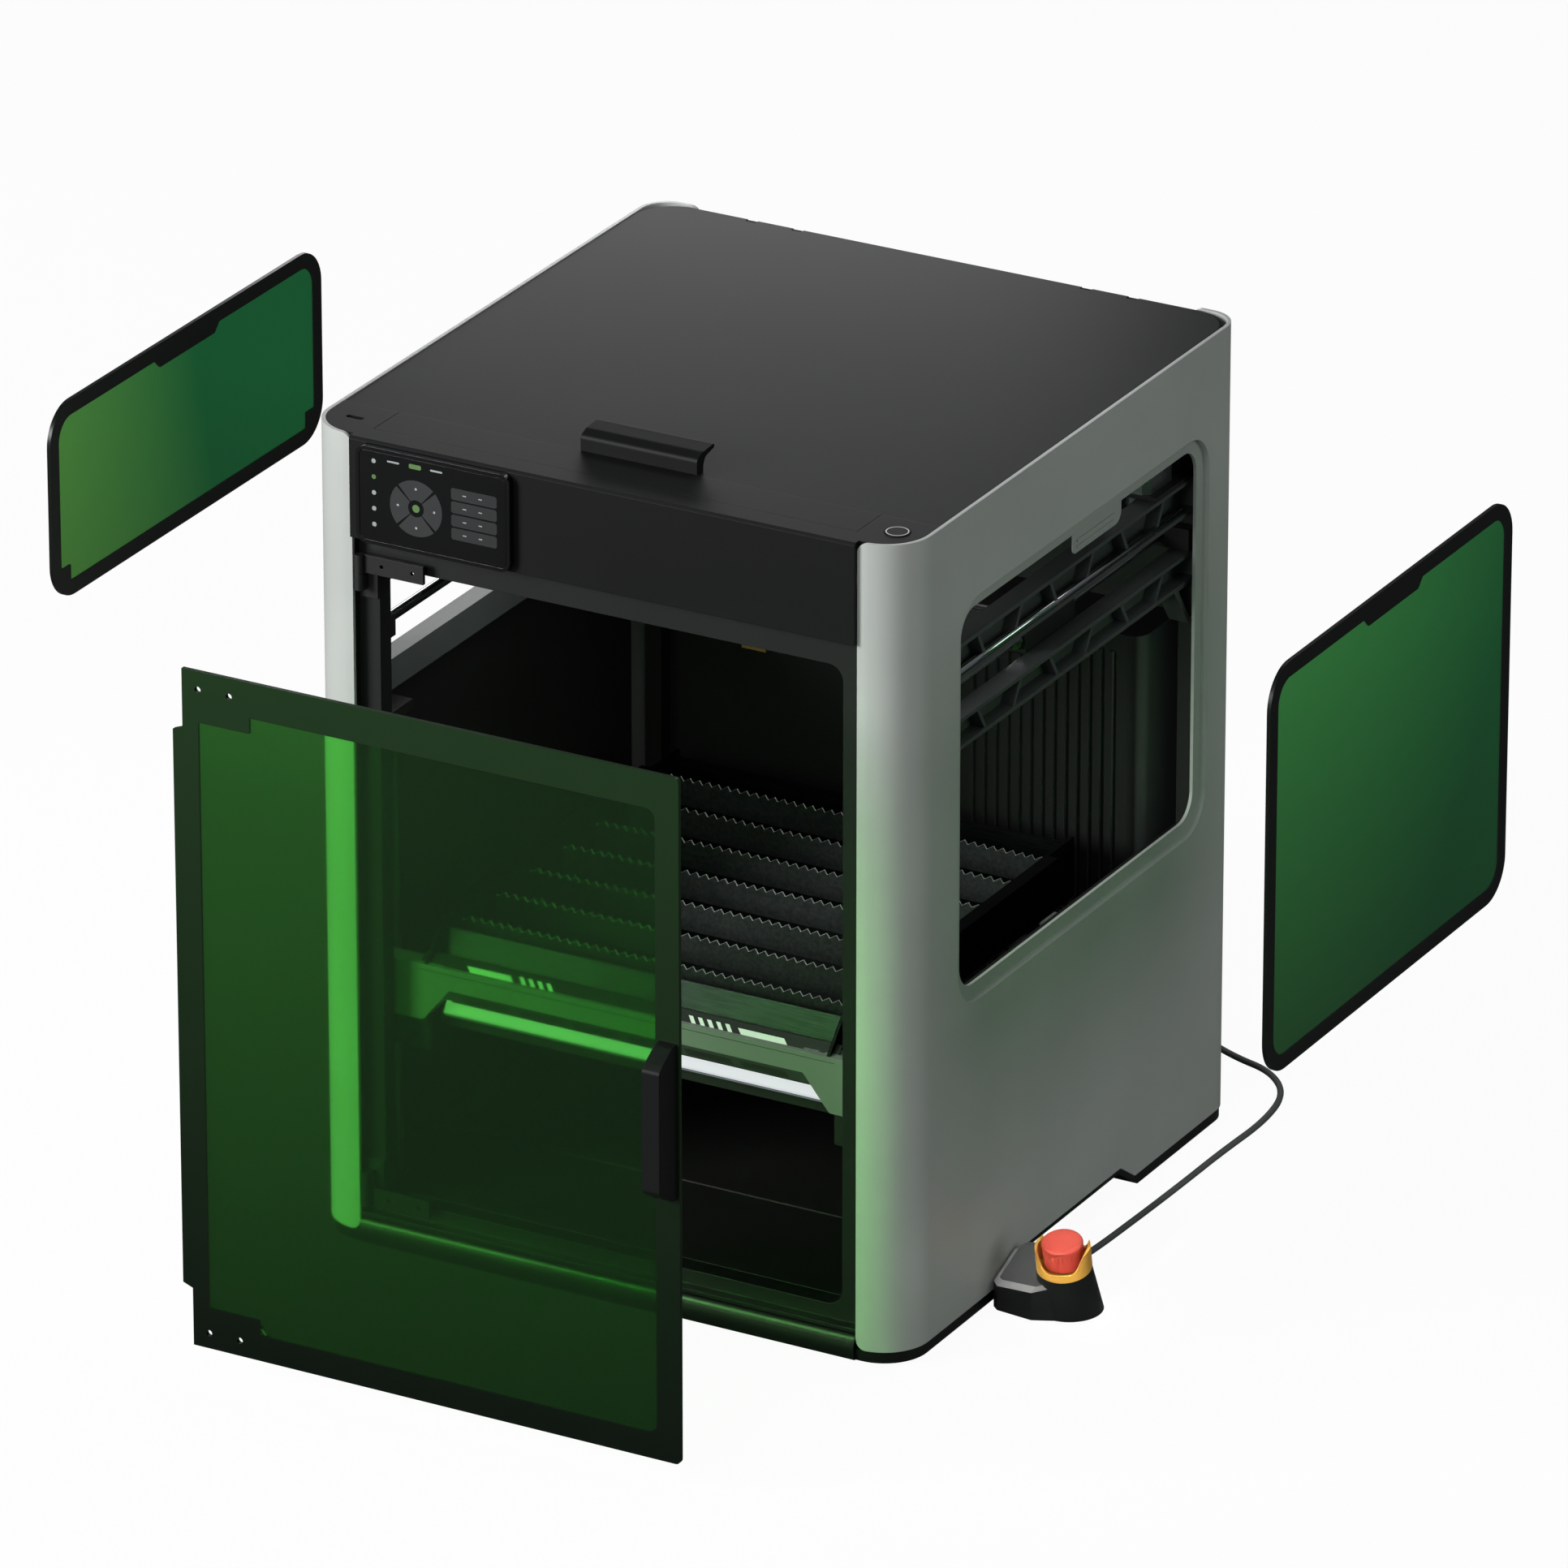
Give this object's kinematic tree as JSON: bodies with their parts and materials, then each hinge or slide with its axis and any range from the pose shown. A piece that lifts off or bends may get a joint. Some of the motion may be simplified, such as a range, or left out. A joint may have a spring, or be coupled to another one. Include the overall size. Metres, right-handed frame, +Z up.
{
  "type": "enclosed desktop 3d printer with laser tray",
  "caption": "Enclosed desktop 3-D printer with a laser-cutting tray, tinted door and side windows shown pulled off, and an emergency-stop box on a cord.",
  "frame": {"origin": "on the floor under the middle of the cabinet", "axes": "+X to the right seen from the door side, +Y to the rear, +Z up"},
  "size_m": [1.0046, 0.9106, 0.6554],
  "materials": {
    "panel_grey": "satin",
    "lid_dark": "satin",
    "fascia_black": "satin",
    "screen_black": "gloss",
    "screen_glass": "gloss",
    "plinth_black": "matte",
    "foot_rubber": "matte",
    "frame_black": "matte",
    "recess_silver": "satin",
    "green_glass": "gloss",
    "inner_black": "matte",
    "beam_grey": "satin",
    "light_white": "satin",
    "steel": "brushed",
    "rod_steel": "polished",
    "brass": "satin",
    "alu": "satin",
    "belt_rubber": "matte",
    "board_green": "satin",
    "stop_black": "satin",
    "stop_yellow": "satin",
    "stop_red": "satin",
    "cord_rubber": "matte"
  },
  "bodies": {
    "cabinet": {"base_plinth": "plinth_black", "rubber_feet": "foot_rubber", "left_side_panel": "panel_grey", "right_side_panel": "panel_grey", "window_frames": "recess_silver", "door_frame": "frame_black", "front_fascia": "fascia_black", "top_front_cover": "fascia_black", "screen_bezel": "screen_black", "screen_glass": "screen_glass", "lid_hinge_ears": "inner_black", "top_frame": "frame_black", "rear_panel": "inner_black", "exhaust_fan_frame": "frame_black", "mains_inlet": "frame_black", "chamber_liners": "frame_black", "corner_columns": "frame_black", "side_beams": "frame_black", "guide_rods": "rod_steel", "rear_bay_cover": "frame_black", "power_supply": "alu", "main_board": "board_green", "stepper_motors": "alu", "drive_belts": "belt_rubber", "door_hinge_blocks": "inner_black", "estop_housing": "stop_black", "estop_collar": "stop_yellow", "estop_strain_relief": "stop_black", "estop_cord": "cord_rubber", "estop_socket": "stop_black", "estop_plug": "stop_black"},
    "door_hinge_arm": {"door_hinge_leaves": "inner_black"},
    "door": {"door_panel": "green_glass", "door_handle": "fascia_black"},
    "right_pane": {"right_window": "green_glass"},
    "left_pane": {"left_window": "green_glass"},
    "lid": {"lid_panel": "lid_dark", "lid_handle": "fascia_black"},
    "bed": {"bed_front_beam": "beam_grey", "bed_light_bar": "light_white", "bed_carrier": "inner_black", "bed_nuts": "brass", "heated_plate": "alu", "cutting_tray": "frame_black", "tray_blades": "steel"},
    "left_screw_turn": {"left_screw": "steel"},
    "right_screw_turn": {"right_screw": "steel"},
    "rear_screw_turn": {"rear_screw": "steel"},
    "gantry": {"gantry_beam": "inner_black", "carriage_bearings": "rod_steel"},
    "toolhead": {"toolhead_housing": "frame_black", "toolhead_nozzle": "brass"},
    "button": {"power_button": "fascia_black"},
    "stop_plunger": {"estop_stem": "stop_black"},
    "stop_knob": {"estop_cap": "stop_red"},
    "fan": {"fan_rotor": "frame_black"},
    "rocker": {"rocker_switch": "screen_black"},
    "left_drive_pulley": {"left_motor_pulley": "alu"},
    "right_drive_pulley": {"right_motor_pulley": "alu"}
  },
  "joints": [
    {"name": "door_hinge", "type": "hinge", "parent": "cabinet", "child": "door_hinge_arm", "pos_m": [-0.2005, -0.253, 0.29], "axis": [0, 0, -1], "range_deg": [0, 110]},
    {"name": "door_pull", "type": "slide", "parent": "door_hinge_arm", "child": "door", "axis": [0, -1, 0], "range_m": [-0.25, 0]},
    {"name": "right_window_pull", "type": "slide", "parent": "cabinet", "child": "right_pane", "axis": [1, 0, 0], "range_m": [-0.248, 0]},
    {"name": "left_window_pull", "type": "slide", "parent": "cabinet", "child": "left_pane", "axis": [-1, 0, 0], "range_m": [-0.268, 0]},
    {"name": "lid_hinge", "type": "hinge", "parent": "cabinet", "child": "lid", "pos_m": [0, 0.251, 0.63725], "axis": [-1, 0, 0], "range_deg": [0, 85]},
    {"name": "bed_lift", "type": "slide", "parent": "cabinet", "child": "bed", "axis": [0, 0, 1], "range_m": [-0.105, 0.175]},
    {"name": "left_screw_spin", "type": "hinge", "parent": "cabinet", "child": "left_screw_turn", "pos_m": [-0.205, -0.2, 0.2], "axis": [0, 0, 1], "range_deg": [-4735, 7885]},
    {"name": "right_screw_spin", "type": "hinge", "parent": "cabinet", "child": "right_screw_turn", "pos_m": [0.205, -0.2, 0.2], "axis": [0, 0, 1], "range_deg": [-4735, 7885]},
    {"name": "rear_screw_spin", "type": "hinge", "parent": "cabinet", "child": "rear_screw_turn", "pos_m": [0, 0.176, 0.2], "axis": [0, 0, 1], "range_deg": [-4735, 7885]},
    {"name": "gantry_y", "type": "slide", "parent": "cabinet", "child": "gantry", "axis": [0, 1, 0], "range_m": [-0.155, 0.135]},
    {"name": "toolhead_x", "type": "slide", "parent": "gantry", "child": "toolhead", "axis": [1, 0, 0], "range_m": [-0.155, 0.155]},
    {"name": "left_pulley_spin", "type": "hinge", "parent": "cabinet", "child": "left_drive_pulley", "pos_m": [-0.204, 0.172, 0.52], "axis": [0, 0, 1], "range_deg": [-1225, 1405]},
    {"name": "right_pulley_spin", "type": "hinge", "parent": "cabinet", "child": "right_drive_pulley", "pos_m": [0.204, 0.172, 0.52], "axis": [0, 0, 1], "range_deg": [-1405, 1225]},
    {"name": "power_press", "type": "slide", "parent": "cabinet", "child": "button", "axis": [0, 0, -1], "range_m": [0, 0.0015], "stiffness_N_per_m": 800},
    {"name": "stop_press", "type": "slide", "parent": "cabinet", "child": "stop_plunger", "axis": [-0.0274, 0.2233, -0.9744], "range_m": [0, 0.0025]},
    {"name": "stop_twist", "type": "hinge", "parent": "stop_plunger", "child": "stop_knob", "pos_m": [0.296, -0.097, 0], "axis": [-0.0274, 0.2233, -0.9744], "range_deg": [0, 45]},
    {"name": "fan_spin", "type": "hinge", "parent": "cabinet", "child": "fan", "pos_m": [0.11, 0.24, 0.5], "axis": [0, 1, 0], "continuous": true},
    {"name": "rocker_tip", "type": "hinge", "parent": "cabinet", "child": "rocker", "pos_m": [-0.15, 0.2537, 0.1082], "axis": [1, 0, 0], "range_deg": [-18, 0]}
  ],
  "couplings": [
    {"joint": "left_screw_spin", "follows": "bed_lift", "rad_per_m": 785.4},
    {"joint": "right_screw_spin", "follows": "bed_lift", "rad_per_m": 785.4},
    {"joint": "rear_screw_spin", "follows": "bed_lift", "rad_per_m": 785.4},
    {"joint": "left_pulley_spin", "follows": "gantry_y", "rad_per_m": -157.08},
    {"joint": "right_pulley_spin", "follows": "gantry_y", "rad_per_m": 157.08}
  ]
}
